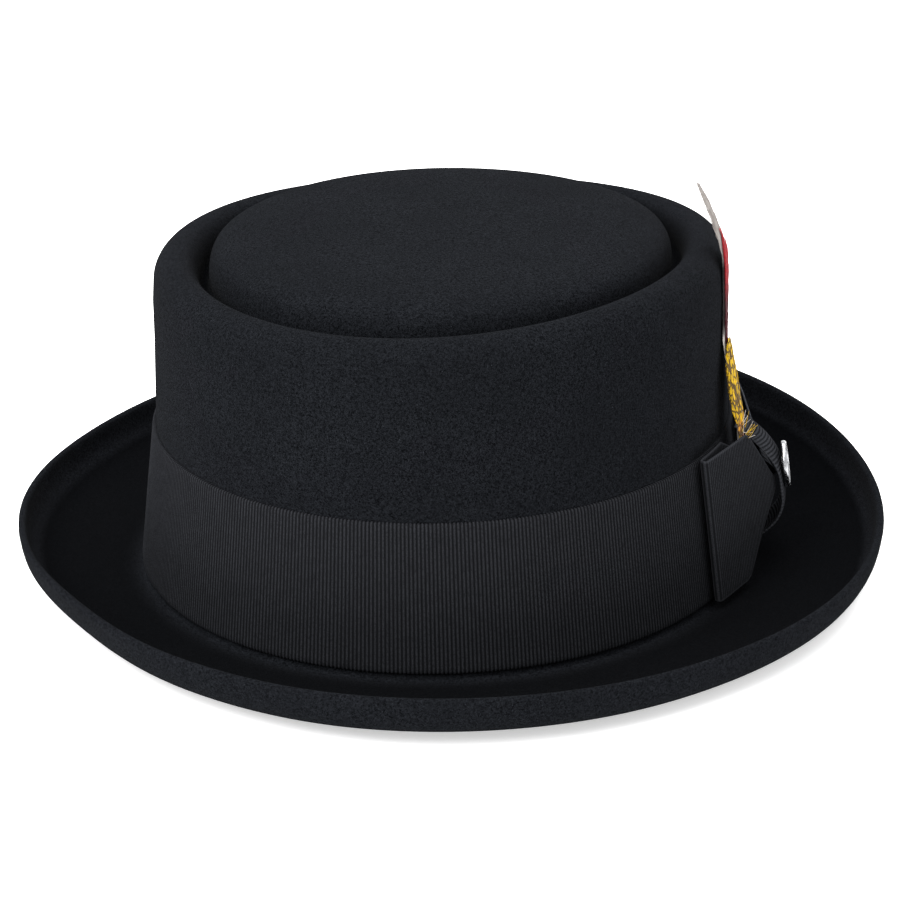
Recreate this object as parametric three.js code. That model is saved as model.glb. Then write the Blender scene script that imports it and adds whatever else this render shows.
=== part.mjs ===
// A porkpie hat of black wool felt, as it lies on its brim: one felt body, a ribbon band, a ribbon bow with
// its knot, three small feathers and a round pin. Millimetres. +Z is up, the front of the hat faces -Y and
// the bow is on the wearer's left, at +X. The origin is under the middle of the brim, on the surface that the
// hat lies on.

import * as THREE from "three";

// Head opening, inside the felt
const HEAD_LENGTH = 201.8;
const HEAD_WIDTH = 170;
const FELT = 2.3;

// Crown: the wall leans in under the band, stands nearly upright above it, and rolls over into a narrow
// groove. Its rim is set a little to the wearer's right of its foot, by CROWN_SET
const WALL_LEAN = 5;
const UPPER_LEAN = 1;
const RIM_HEIGHT = 93;
const RIM_SIDE_RISE = 1.7;
const RIM_FRONT_RISE = 1.1;
const RIM_LEFT_RISE = 1.5;
const RIM_OUTER_ROUND = 6.8;
const RIM_INNER_ROUND = 6.2;
const GROOVE_DEPTH = 9.5;
const GROOVE_WIDTH = 2.4;
const TIP_HEIGHT = 102;
const CROWN_SET = 1.9;

// Brim: flat where it rests, then dished, with its edge turned up
const BREAK_ROUND = 1.5;
const REST_WIDTH = 12;
const BRIM_WIDTH = 40;
const BRIM_LIFT = 10;
const CURL_ROUND = 10;
const CURL_HEIGHT = 11.4;
const CURL_STEEPNESS = THREE.MathUtils.degToRad(80);
const DISH_BEND = 1.6;

// Ribbon band
const RIBBON_WIDTH = 40.6;
const RIBBON = 0.8;
const CLEARANCE = 0.3;

// Bow: two flat loops of the same ribbon, gathered under a knot that stands off the band
const BOW_PLACE = 8;
const KNOT_WIDTH = 16;
const KNOT_STAND = 12.2;
const KNOT_CROWN = 2.2;
const LOOP_REACH = 46.5;
const LOOP_START = 6;
const LOOP_STAND = 10.5;
const FOLD_STAND = 3.5;
const FOLD_ROUND = 0.95;
const LOOP_FOOT = 0.9;

// Feathers, tucked into the front loop
const FEATHER_PLACE = -10.5;
const FEATHER_SWEEP = 9;
const FEATHER_LENGTH = 75.5;
const FEATHER_TUCK = 7.1;
const FEATHER_LEAN = 14;
const FEATHER_WIDTH = 12;
const VANE = 0.5;
const SHAFT = 1;

// Pin, on the middle of the knot
const PIN_DIAMETER = 13.6;
const PIN_THICKNESS = 1.5;
const PIN_SEAT = 4;
const PIN_PLACE = 0.5;

const AROUND = 60;
const FULL_TURN = 2 * Math.PI;

// How the edge of the brim is set, every eighth of a turn from the wearer's left: its width as a share of
// BRIM_WIDTH, and how far the dish has risen before the edge turns up, as a share of BRIM_LIFT
const BRIM_SET = [
  { name: "left", width: 0.995, lift: 0.42 },
  { name: "back left", width: 1.01, lift: 0.95 },
  { name: "back", width: 1.085, lift: 1.1 },
  { name: "back right", width: 0.94, lift: 0.69 },
  { name: "right", width: 0.95, lift: 0.26 },
  { name: "front right", width: 0.79, lift: 0.37 },
  { name: "front", width: 1.01, lift: 0.52 },
  { name: "front left", width: 0.92, lift: 0.34 },
];

// The tip of the crown from its middle to the groove: reach as a share of the tip's radius, and height as a
// share of the rise from the bottom of the groove
const TIP_SECTION = [
  { reach: 0.34, height: 0.985 },
  { reach: 0.58, height: 0.95 },
  { reach: 0.76, height: 0.9 },
  { reach: 0.88, height: 0.835 },
  { reach: 0.945, height: 0.75 },
  { reach: 0.98, height: 0.63 },
  { reach: 1, height: 0.46 },
  { reach: 1.005, height: 0.2 },
];

// One loop of the bow, from the knot to its fold and back: along as a share of LOOP_REACH, foot and top as
// shares of RIBBON_WIDTH, and, on the layer next to the band, stand as a share of LOOP_STAND
const OUTER_LAYER = [
  { along: 0, foot: 0.46, top: 0.56 },
  { along: 0.08, foot: 0.41, top: 0.65 },
  { along: 0.18, foot: 0.345, top: 0.77 },
  { along: 0.27, foot: 0.28, top: 0.87 },
  { along: 0.37, foot: 0.2, top: 0.965 },
  { along: 0.46, foot: 0.115, top: 1 },
  { along: 0.57, foot: 0.02, top: 1 },
  { along: 0.78, foot: 0, top: 1 },
  { along: 1, foot: 0, top: 1 },
];
const INNER_LAYER = [
  { along: 0.8, foot: 0, top: 1, stand: 0.125 },
  { along: 0.6, foot: 0.01, top: 1, stand: 0.13 },
  { along: 0.46, foot: 0.05, top: 0.93, stand: 0.2 },
  { along: 0.34, foot: 0.13, top: 0.8, stand: 0.32 },
  { along: 0.22, foot: 0.22, top: 0.7, stand: 0.48 },
  { along: 0.1, foot: 0.32, top: 0.6, stand: 0.68 },
  { along: 0, foot: 0.4, top: 0.54, stand: 0.8 },
];

// The knot from its upper end to its lower end: height as a share of RIBBON_WIDTH, stand as a share of
// KNOT_STAND, and fullness, how much of KNOT_CROWN the middle stands proud of the two edges
const KNOT_SECTION = [
  { height: 0.93, stand: 0.07, fullness: 0 },
  { height: 0.9, stand: 0.25, fullness: 0.4 },
  { height: 0.83, stand: 0.48, fullness: 1 },
  { height: 0.74, stand: 0.73, fullness: 0.9 },
  { height: 0.66, stand: 0.91, fullness: 0.5 },
  { height: 0.58, stand: 1, fullness: 0.15 },
  { height: 0.47, stand: 1.02, fullness: 0.1 },
  { height: 0.36, stand: 1, fullness: 0.1 },
  { height: 0.25, stand: 0.84, fullness: 0.3 },
  { height: 0.16, stand: 0.55, fullness: 0.5 },
  { height: 0.1, stand: 0.25, fullness: 0.2 },
  { height: 0.07, stand: 0.07, fullness: 0 },
];

// The three feathers share one curve, which hugs the crown and nods over its rim: rise as a share of the height
// from the foot of the feathers to the rim, and stand, how far the curve stands off the upper wall there, as a
// share of FEATHER_LEAN
const FEATHER_CURVE = [
  { rise: 0, stand: 0.31 },
  { rise: 0.1, stand: 0.27 },
  { rise: 0.19, stand: 0.25 },
  { rise: 0.28, stand: 0.18 },
  { rise: 0.385, stand: 0.107 },
  { rise: 0.51, stand: 0.01 },
  { rise: 0.61, stand: -0.045 },
  { rise: 0.77, stand: -0.058 },
  { rise: 0.95, stand: -0.075 },
  { rise: 1.035, stand: -0.1 },
  { rise: 1.11, stand: -0.2 },
  { rise: 1.18, stand: -0.35 },
  { rise: 1.28, stand: -0.57 },
];
const FEATHERS = [
  { name: "feather_grey", layer: 0, length: 1, width: 0.8, widest: 0.55, strips: 8, color: 0xb9b8b4 },
  { name: "feather_red", layer: 1, length: 0.87, width: 1, widest: 0.6, strips: 8, color: 0x9c1420 },
  { name: "feather_yellow", layer: 2, length: 0.52, width: 1.15, widest: 0.6, strips: 6, color: 0xc98f1a },
];

const bandFoot = FELT + BREAK_ROUND + CLEARANCE;
const bandTop = bandFoot + RIBBON_WIDTH;
const headHalfWidth = HEAD_WIDTH / 2 + FELT;
const headHalfLength = HEAD_LENGTH / 2 + FELT;
const grooveOut = -(WALL_LEAN + UPPER_LEAN + RIM_OUTER_ROUND + RIM_INNER_ROUND + GROOVE_WIDTH / 2);
const tipRadius = (headHalfWidth + headHalfLength) / 2 + grooveOut;

function lerp(from, to, share) {
  return from + (to - from) * share;
}

// A smooth value around the hat, through table rows that are equal steps of the full turn apart
function aroundTable(rows, column, turn) {
  const place = ((turn / FULL_TURN) % 1 + 1) % 1 * rows.length;
  const first = Math.floor(place);
  const share = place - first;
  const value = (step) => rows[(first + step + rows.length) % rows.length][column];
  const slopeIn = (value(1) - value(-1)) / 2;
  const slopeOut = (value(2) - value(0)) / 2;
  const rise = value(1) - value(0);
  const bend = 3 * rise - 2 * slopeIn - slopeOut;
  const close = slopeIn + slopeOut - 2 * rise;
  return value(0) + share * (slopeIn + share * (bend + share * close));
}

// A smooth value along a table whose first column rises from row to row
function alongTable(rows, column, value, key) {
  const last = rows.length - 1;
  let first = 0;
  while (first < last - 1 && rows[first + 1][column] < value) {
    first += 1;
  }
  const start = rows[first];
  const end = rows[first + 1];
  const share = (value - start[column]) / (end[column] - start[column]);
  const before = rows[Math.max(0, first - 1)];
  const after = rows[Math.min(last, first + 2)];
  const span = end[column] - start[column];
  const slopeIn = (end[key] - before[key]) / (end[column] - before[column]) * span;
  const slopeOut = (after[key] - start[key]) / (after[column] - start[column]) * span;
  const rise = end[key] - start[key];
  const bend = 3 * rise - 2 * slopeIn - slopeOut;
  const close = slopeIn + slopeOut - 2 * rise;
  return start[key] + share * (slopeIn + share * (bend + share * close));
}

// A point out from the oval of the wall's foot, square to the oval
function besideHead(turn, out, height) {
  const normal = new THREE.Vector2(headHalfLength * Math.cos(turn), headHalfWidth * Math.sin(turn));
  normal.normalize();
  return new THREE.Vector3(
    headHalfWidth * Math.cos(turn) + out * normal.x - CROWN_SET * height / RIM_HEIGHT,
    headHalfLength * Math.sin(turn) + out * normal.y,
    height,
  );
}

// The same, but inside the groove the ovals shrink towards the middle of the tip
function onHat(turn, out, height) {
  if (out >= grooveOut) {
    return besideHead(turn, out, height);
  }
  const groove = besideHead(turn, grooveOut, height);
  const share = 1 + (out - grooveOut) / tipRadius;
  const middle = besideHead(turn, 0, height).add(besideHead(turn + Math.PI, 0, height)).multiplyScalar(0.5);
  return groove.sub(middle).multiplyScalar(share).add(middle);
}

// How far the outside of the wall leans in at a height below the rim
function wallOut(height) {
  return -WALL_LEAN * (height - bandFoot) / (bandTop - bandFoot);
}

function rimHeight(turn) {
  const sides = RIM_SIDE_RISE * Math.cos(2 * turn);
  return RIM_HEIGHT + sides + RIM_LEFT_RISE * Math.cos(turn) - RIM_FRONT_RISE * Math.sin(turn);
}

// The upper face of the felt in the plane that stands square to the oval, from the tip to the brim's edge
function feltSection(turn, arcSteps) {
  const section = [];
  const rim = rimHeight(turn);
  const grooveBottom = rim - GROOVE_DEPTH;
  for (const row of TIP_SECTION) {
    const out = grooveOut - GROOVE_WIDTH / 2 - tipRadius * (1 - row.reach);
    section.push(new THREE.Vector2(out, lerp(grooveBottom, TIP_HEIGHT, row.height)));
  }
  section.push(new THREE.Vector2(grooveOut, grooveBottom));
  const crest = grooveOut + GROOVE_WIDTH / 2 + RIM_INNER_ROUND;
  const innerDrop = GROOVE_DEPTH - GROOVE_WIDTH / 2;
  for (let step = arcSteps; step > 0; step -= 1) {
    const angle = step / arcSteps * Math.PI / 2;
    const out = crest - RIM_INNER_ROUND * Math.sin(angle);
    section.push(new THREE.Vector2(out, rim - innerDrop * (1 - Math.cos(angle))));
  }
  for (let step = 0; step <= arcSteps; step += 1) {
    const angle = step / arcSteps * Math.PI / 2;
    const out = crest + RIM_OUTER_ROUND * Math.sin(angle);
    section.push(new THREE.Vector2(out, rim - RIM_OUTER_ROUND * (1 - Math.cos(angle))));
  }
  const upperMiddle = lerp(bandTop, rim - RIM_OUTER_ROUND, 0.5);
  section.push(new THREE.Vector2(wallOut(bandTop) - UPPER_LEAN / 2, upperMiddle));
  section.push(new THREE.Vector2(wallOut(bandTop), bandTop));
  section.push(new THREE.Vector2(wallOut(bandFoot), bandFoot));
  section.push(new THREE.Vector2(0, FELT + BREAK_ROUND));
  section.push(new THREE.Vector2(BREAK_ROUND * 0.3, FELT + BREAK_ROUND * 0.3));
  section.push(new THREE.Vector2(BREAK_ROUND, FELT));
  section.push(new THREE.Vector2(REST_WIDTH * 0.35, FELT));
  section.push(new THREE.Vector2(REST_WIDTH * 0.7, FELT));
  section.push(new THREE.Vector2(REST_WIDTH, FELT));
  return section.concat(brimSection(turn, arcSteps));
}

// The dish of the brim and its turned-up edge, traced along the underside and moved up by the felt
function brimSection(turn, arcSteps) {
  const width = BRIM_WIDTH * aroundTable(BRIM_SET, "width", turn);
  const lift = BRIM_LIFT * aroundTable(BRIM_SET, "lift", turn);
  const curlRun = CURL_ROUND * (Math.sin(CURL_STEEPNESS) - Math.sin(CURL_STEEPNESS / 4));
  const dishRun = width - curlRun - REST_WIDTH;
  const startSlope = Math.atan(DISH_BEND * lift / dishRun);
  const curlRise = CURL_ROUND * (Math.cos(startSlope) - Math.cos(CURL_STEEPNESS));
  const straight = (CURL_HEIGHT - curlRise) / Math.sin(CURL_STEEPNESS);
  const curlReach = CURL_ROUND * (Math.sin(CURL_STEEPNESS) - Math.sin(startSlope));
  const dishEnd = width - curlReach - straight * Math.cos(CURL_STEEPNESS);
  const points = [];
  const add = (out, height, slope) => {
    points.push(new THREE.Vector2(out - FELT * Math.sin(slope), height + FELT * Math.cos(slope)));
  };
  for (let step = 1; step <= arcSteps; step += 1) {
    const share = step / arcSteps;
    const slope = DISH_BEND * lift / (dishEnd - REST_WIDTH) * share ** (DISH_BEND - 1);
    add(lerp(REST_WIDTH, dishEnd, share), lift * share ** DISH_BEND, Math.atan(slope));
  }
  for (let step = 1; step <= arcSteps; step += 1) {
    const slope = lerp(startSlope, CURL_STEEPNESS, step / arcSteps);
    const out = dishEnd + CURL_ROUND * (Math.sin(slope) - Math.sin(startSlope));
    add(out, lift + CURL_ROUND * (Math.cos(startSlope) - Math.cos(slope)), slope);
  }
  add(width, lift + CURL_HEIGHT, CURL_STEEPNESS);
  return points;
}

// A section moved through its own thickness, square to itself
function behind(section, thickness) {
  return section.map((point, index) => {
    const before = section[Math.max(0, index - 1)];
    const after = section[Math.min(section.length - 1, index + 1)];
    const into = point.clone().sub(before).normalize();
    const onward = after.clone().sub(point).normalize();
    const along = into.add(onward).normalize();
    return new THREE.Vector2(point.x - thickness * -along.y, point.y - thickness * along.x);
  });
}

// A closed body from rings of points that run the same way round, with a point at each end
function bodyOfRings(start, rings, end) {
  const positions = [start, ...rings.flat(), end].flatMap((point) => point.toArray());
  const count = rings[0].length;
  const lastPoint = 1 + rings.length * count;
  const faces = [];
  for (let side = 0; side < count; side += 1) {
    const next = (side + 1) % count;
    faces.push(0, 1 + side, 1 + next);
    const lastRing = 1 + (rings.length - 1) * count;
    faces.push(lastPoint, lastRing + next, lastRing + side);
    for (let ring = 0; ring + 1 < rings.length; ring += 1) {
      const inner = 1 + ring * count;
      const outer = inner + count;
      faces.push(inner + side, outer + side, outer + next);
      faces.push(inner + side, outer + next, inner + next);
    }
  }
  return geometryOf(positions, faces);
}

// A closed ring from sections that are themselves closed loops
function ringOfSections(sections) {
  const count = sections[0].length;
  const positions = sections.flat().flatMap((point) => point.toArray());
  const faces = [];
  for (let place = 0; place < sections.length; place += 1) {
    const here = place * count;
    const there = (place + 1) % sections.length * count;
    for (let side = 0; side < count; side += 1) {
      const next = (side + 1) % count;
      faces.push(here + side, there + side, there + next);
      faces.push(here + side, there + next, here + next);
    }
  }
  return geometryOf(positions, faces);
}

// A closed slab from a grid of points: its middle surface, thickened both ways
function slabOfGrid(grid, thickness) {
  const rows = grid.length;
  const columns = grid[0].length;
  const step = (row, column, byRow, byColumn) => {
    const lastRow = rows - 1;
    const lastColumn = columns - 1;
    const onward = grid[Math.min(lastRow, row + byRow)][Math.min(lastColumn, column + byColumn)];
    return onward.clone().sub(grid[Math.max(0, row - byRow)][Math.max(0, column - byColumn)]);
  };
  const normalAt = (row, column) => step(row, column, 1, 0).cross(step(row, column, 0, 1)).normalize();
  const positions = [];
  for (const side of [0.5, -0.5]) {
    grid.forEach((line, row) => line.forEach((point, column) => {
      positions.push(...point.clone().addScaledVector(normalAt(row, column), side * thickness).toArray());
    }));
  }
  const faces = [];
  const back = rows * columns;
  const quad = (a, b, c, d) => faces.push(a, b, c, a, c, d);
  for (let row = 0; row + 1 < rows; row += 1) {
    for (let column = 0; column + 1 < columns; column += 1) {
      const corner = row * columns + column;
      quad(corner, corner + columns, corner + columns + 1, corner + 1);
      quad(back + corner, back + corner + 1, back + corner + columns + 1, back + corner + columns);
    }
    const first = row * columns;
    const last = first + columns - 1;
    quad(first, back + first, back + first + columns, first + columns);
    quad(last, last + columns, back + last + columns, back + last);
  }
  for (let column = 0; column + 1 < columns; column += 1) {
    const last = (rows - 1) * columns + column;
    quad(column, column + 1, back + column + 1, back + column);
    quad(last, back + last, back + last + 1, last + 1);
  }
  return geometryOf(positions, faces);
}

function geometryOf(positions, faces) {
  const geometry = new THREE.BufferGeometry();
  geometry.setAttribute("position", new THREE.Float32BufferAttribute(positions, 3));
  geometry.setIndex(faces);
  return geometry;
}

// The felt: crown, groove, tip and brim are one wall, open underneath
function feltBody() {
  const turns = Array.from({ length: AROUND }, (_, index) => index / AROUND * FULL_TURN);
  const faceSteps = 4;
  const backSteps = 2;
  const faces = turns.map((turn) => feltSection(turn, faceSteps));
  const backs = turns.map((turn) => behind(feltSection(turn, backSteps), FELT));
  const edges = turns.map((turn, index) => {
    const face = faces[index].at(-1);
    const back = backs[index].at(-1);
    const along = new THREE.Vector2(Math.cos(CURL_STEEPNESS), Math.sin(CURL_STEEPNESS));
    return face.clone().add(back).multiplyScalar(0.5).addScaledVector(along, FELT / 2);
  });
  const ringOf = (points) => points.map((point, index) => onHat(turns[index], point.x, point.y));
  const rings = faces[0].map((_, station) => ringOf(faces.map((section) => section[station])));
  rings.push(ringOf(edges));
  for (let station = backs[0].length - 1; station >= 0; station -= 1) {
    rings.push(ringOf(backs.map((section) => section[station])));
  }
  const middleAt = (height) => onHat(0, grooveOut - tipRadius, height);
  return bodyOfRings(middleAt(TIP_HEIGHT), rings, middleAt(TIP_HEIGHT - FELT));
}

// The band follows the lean of the wall
function bandRing() {
  const sections = [];
  for (let index = 0; index < AROUND; index += 1) {
    const turn = index / AROUND * FULL_TURN;
    const corner = (height, layer) => besideHead(turn, wallOut(height) + CLEARANCE + layer, height);
    const inside = [corner(bandTop, 0), corner(bandFoot, 0)];
    sections.push([...inside, corner(bandFoot, RIBBON), corner(bandTop, RIBBON)]);
  }
  return ringOfSections(sections);
}

// The turn at which a length of ribbon, measured along the wall's foot from the wearer's left, ends
function turnAt(length) {
  const steps = 24;
  const speedAt = (turn) => Math.hypot(headHalfWidth * Math.sin(turn), headHalfLength * Math.cos(turn));
  let turn = 0;
  for (let step = 0; step < steps; step += 1) {
    const middle = turn + length / steps / 2 / speedAt(turn);
    turn += length / steps / speedAt(middle);
  }
  return turn;
}

// A point that stands off the outside of the band
function offBand(length, stand, height) {
  return besideHead(turnAt(length), wallOut(height) + CLEARANCE + RIBBON + stand, height);
}

// One loop of the bow: a taut outer layer from the knot to the fold, and an inner layer back along the band
function bowLoop(side) {
  const knotLength = BOW_PLACE + side * LOOP_START;
  const foldLength = BOW_PLACE + side * (LOOP_START + LOOP_REACH);
  const foldInner = FOLD_STAND - 2 * FOLD_ROUND;
  const foldStart = foldLength - side * FOLD_ROUND;
  const heightAt = (share) => bandFoot + LOOP_FOOT + RIBBON_WIDTH * share;
  const stations = [];
  for (const row of OUTER_LAYER) {
    const at = (height) => offBand(knotLength, LOOP_STAND, height)
      .lerp(offBand(foldStart, FOLD_STAND, height), row.along);
    stations.push({ at, foot: row.foot, top: row.top });
  }
  const foldSteps = 5;
  for (let step = 1; step <= foldSteps; step += 1) {
    const angle = step / foldSteps * Math.PI;
    const length = foldStart + side * FOLD_ROUND * Math.sin(angle);
    const stand = FOLD_STAND - FOLD_ROUND * (1 - Math.cos(angle));
    stations.push({ at: (height) => offBand(length, stand, height), foot: 0, top: 1 });
  }
  for (const row of INNER_LAYER) {
    const length = lerp(knotLength, foldStart, row.along);
    const stand = Math.max(foldInner * 0.85, LOOP_STAND * row.stand);
    stations.push({ at: (height) => offBand(length, stand, height), foot: row.foot, top: row.top });
  }
  const rows = 4;
  const points = stations.map(({ at, foot, top }) => Array.from(
    { length: rows + 1 },
    (_, index) => at(heightAt(lerp(foot, top, index / rows))),
  ));
  return slabOfGrid(points, RIBBON);
}

// The knot: a strip of ribbon wrapped up and over the gathered loops, with its ends against the band
function bowKnot() {
  const across = 6;
  const pointAt = (row, column) => {
    const share = column / across * 2 - 1;
    const proud = KNOT_CROWN * row.fullness * (1 - share ** 2);
    const height = bandFoot + LOOP_FOOT + RIBBON_WIDTH * row.height;
    return offBand(BOW_PLACE + share * KNOT_WIDTH / 2, KNOT_STAND * row.stand + proud, height);
  };
  const columns = Array.from({ length: across + 1 }, (_, column) => column);
  return slabOfGrid(KNOT_SECTION.map((row) => columns.map((column) => pointAt(row, column))), RIBBON);
}

// A place on the curve of the feathers: rise as a share of the longest, across it, and out from the crown
function onFeather(rise, across, out) {
  const foot = bandTop - FEATHER_TUCK;
  const risen = FEATHER_LENGTH * rise;
  const stand = FEATHER_LEAN * alongTable(FEATHER_CURVE, "rise", risen / (RIM_HEIGHT - foot), "stand");
  const turn = turnAt(FEATHER_PLACE + FEATHER_SWEEP * rise ** 1.5 + across);
  return besideHead(turn, -WALL_LEAN + stand + out, foot + risen);
}

// One feather: a bare quill, then a vane of slanting strips, joined to each other along a backing that runs
// up the middle, with their ends free
function feather({ layer, length, width, widest, strips }) {
  const out = (layer + 1) * (VANE + CLEARANCE);
  const quill = 0.2;
  const sweep = 0.9;
  const halfWidth = (share) => {
    const place = Math.min(1, Math.max(0, (share - quill) / (1 - quill)));
    const bulge = place < widest ? place / widest : (1 - place) / (1 - widest);
    return SHAFT / 2 + FEATHER_WIDTH / 2 * width * Math.sin(bulge * Math.PI / 2) ** 0.8;
  };
  const rowAt = (share, reach) => [1, 0.5, 0, -0.5, -1].map((place) => {
    const across = place * reach;
    const swept = share + sweep * (Math.abs(across) - SHAFT / 2) / FEATHER_LENGTH;
    return onFeather(Math.max(share, swept) * length, across, out);
  });
  const rows = [rowAt(0, SHAFT / 2), rowAt(quill / 2, SHAFT / 2), rowAt(quill * 0.95, SHAFT / 2)];
  const pitch = (0.97 - quill) / strips;
  for (let strip = 0; strip < strips; strip += 1) {
    const foot = quill + pitch * strip;
    rows.push(rowAt(foot, halfWidth(foot) * 0.8));
    rows.push(rowAt(foot + pitch * 0.45, halfWidth(foot + pitch * 0.5) * 0.97));
    rows.push(rowAt(foot + pitch * 0.9, halfWidth(foot + pitch * 0.8)));
  }
  rows.push(rowAt(0.985, SHAFT / 2));
  return slabOfGrid(rows, VANE);
}

// The pin: a round disc with a raised rim and a low plain dome, and a small seat behind it
function pinDisc() {
  const radius = PIN_DIAMETER / 2;
  const rim = PIN_THICKNESS * 0.75;
  const section = [
    new THREE.Vector2(0, 0),
    new THREE.Vector2(PIN_SEAT / 2, 0),
    new THREE.Vector2(PIN_SEAT / 2, CLEARANCE),
    new THREE.Vector2(radius - rim / 2, CLEARANCE),
    new THREE.Vector2(radius, CLEARANCE + rim / 2),
    new THREE.Vector2(radius, CLEARANCE + PIN_THICKNESS - rim / 3),
    new THREE.Vector2(radius - rim / 3, CLEARANCE + PIN_THICKNESS),
    new THREE.Vector2(radius - rim, CLEARANCE + PIN_THICKNESS),
    new THREE.Vector2(radius - rim * 1.3, CLEARANCE + PIN_THICKNESS * 0.72),
    new THREE.Vector2(radius * 0.5, CLEARANCE + PIN_THICKNESS * 0.9),
    new THREE.Vector2(0, CLEARANCE + PIN_THICKNESS),
  ];
  return new THREE.LatheGeometry(section, 20);
}

function meshOf(name, geometry, color, roughness, metalness = 0) {
  const mesh = new THREE.Mesh(geometry, new THREE.MeshStandardMaterial({ color, roughness, metalness }));
  mesh.name = name;
  return mesh;
}

// Colours and surfaces
const FELT_BLACK = 0x14181a;
const RIBBON_BLACK = 0x18181c;
const SILVER = 0xc4c6c8;

const hat = new THREE.Group();
hat.add(meshOf("felt_body", feltBody(), FELT_BLACK, 0.95));
hat.add(meshOf("hat_band", bandRing(), RIBBON_BLACK, 0.62));
hat.add(meshOf("bow_front_loop", bowLoop(-1), RIBBON_BLACK, 0.62));
hat.add(meshOf("bow_rear_loop", bowLoop(1), RIBBON_BLACK, 0.62));
hat.add(meshOf("bow_knot", bowKnot(), RIBBON_BLACK, 0.62));
for (const row of FEATHERS) {
  hat.add(meshOf(row.name, feather(row), row.color, 0.8));
}

// The pin sits on the middle of the knot and leans as the knot does
const pin = meshOf("pin", pinDisc(), SILVER, 0.3, 1);
const pinHeight = bandFoot + LOOP_FOOT + RIBBON_WIDTH * PIN_PLACE;
const pinStand = KNOT_STAND + KNOT_CROWN * 0.2 + RIBBON / 2 + CLEARANCE;
pin.position.copy(offBand(BOW_PLACE, pinStand, pinHeight));
const ribbonWay = offBand(BOW_PLACE + 1, pinStand, pinHeight).sub(pin.position);
const wallWay = offBand(BOW_PLACE, pinStand, pinHeight + 1).sub(pin.position);
pin.quaternion.setFromUnitVectors(new THREE.Vector3(0, 1, 0), ribbonWay.cross(wallWay).normalize());
hat.add(pin);

// The origin lies under the middle of the brim
const brimMiddle = new THREE.Box3().setFromObject(hat).getCenter(new THREE.Vector3());
hat.position.set(-brimMiddle.x, -brimMiddle.y, 0);

export default hat;
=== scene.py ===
"""A black wool felt porkpie hat: the looks of the felt, its ribbon band and bow, three feathers and a pin."""

import bpy
import numpy as np
from mathutils import Matrix, Vector


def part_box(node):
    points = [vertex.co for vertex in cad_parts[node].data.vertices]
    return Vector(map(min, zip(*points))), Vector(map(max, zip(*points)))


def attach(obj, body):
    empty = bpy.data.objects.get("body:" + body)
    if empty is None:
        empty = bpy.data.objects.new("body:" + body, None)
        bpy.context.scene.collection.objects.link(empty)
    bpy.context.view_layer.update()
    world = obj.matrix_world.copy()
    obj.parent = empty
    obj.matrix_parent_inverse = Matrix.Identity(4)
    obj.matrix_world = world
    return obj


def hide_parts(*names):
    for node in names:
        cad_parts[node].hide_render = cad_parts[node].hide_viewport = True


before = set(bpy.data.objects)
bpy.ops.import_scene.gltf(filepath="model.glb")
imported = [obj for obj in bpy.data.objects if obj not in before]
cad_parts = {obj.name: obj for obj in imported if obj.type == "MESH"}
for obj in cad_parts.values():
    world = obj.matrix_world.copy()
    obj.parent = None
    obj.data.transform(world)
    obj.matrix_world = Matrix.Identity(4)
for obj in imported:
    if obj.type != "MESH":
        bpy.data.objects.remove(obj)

bl_info = {
    "name": "Porkpie hat",
    "version": (1, 0, 0),
    "blender": (4, 5, 0),
    "location": "View3D > Sidebar > Hat",
    "description": "Makes the felt, ribbon, feathers and pin of a porkpie hat, and a plain studio around it",
    "category": "Object",
}

MM = 0.001
FULL_TURN = 2 * np.pi

# Points to each rib of the ribbon, and how far the ribs of the bow stand out, in millimetres
RIB_STEPS = 6
BOW_RIB = 0.16

# How the brim is set, every sixteenth of a turn from the wearer's left towards the back: its width, and its lift
# before the curl, in millimetres
BRIM_WIDTHS = (40.6, 40.1, 40.4, 42.3, 43.4, 40.7, 37.6, 37.8, 38.5, 35.4, 31.9, 35.8, 40.8, 41.0, 39.6, 40.7)
BRIM_LIFTS = (3.8, 6.7, 9.5, 10.8, 11.0, 9.3, 6.9, 4.2, 2.1, 1.6, 1.8, 2.4, 2.8, 2.2, 1.6, 2.3)

# Where the groove, and the brim's upper side, start and end, as shares of the felt's whole section
GROOVE_START, GROOVE_END = 0.165, 0.262
BRIM_START, BRIM_EDGE = 0.447, 0.653

# The tip from its middle to the groove: reach, as a share of the tip's radius, and height, as a share of its rise
TIP_SECTION = (
    (0.1, 0.998), (0.22, 0.993), (0.34, 0.985), (0.47, 0.968), (0.58, 0.95), (0.68, 0.927), (0.76, 0.9),
    (0.83, 0.868), (0.88, 0.835), (0.918, 0.797), (0.945, 0.75), (0.966, 0.695), (0.982, 0.62), (0.994, 0.52),
    (1.002, 0.39), (1.005, 0.24), (1.005, 0.11),
)

# Outer layer of a loop of the bow, from the knot to the fold: along, foot and top, as shares
LOOP_OUTER = (
    (0, 0.47, 0.55), (0.08, 0.41, 0.64), (0.18, 0.345, 0.76), (0.27, 0.28, 0.865), (0.36, 0.205, 0.965),
    (0.41, 0.16, 1), (0.5, 0.075, 1), (0.56, 0.02, 1), (0.62, 0, 1), (1, 0, 1),
)
# Inner layer, from the fold back to the knot: along, foot, top, and stand off the band, as shares
LOOP_INNER = (
    (1, 0, 1, 0.15), (0.8, 0, 1, 0.125), (0.6, 0.01, 1, 0.13), (0.46, 0.05, 0.93, 0.2), (0.34, 0.13, 0.8, 0.32),
    (0.22, 0.22, 0.7, 0.48), (0.1, 0.32, 0.6, 0.68), (0, 0.4, 0.54, 0.8),
)
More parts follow.
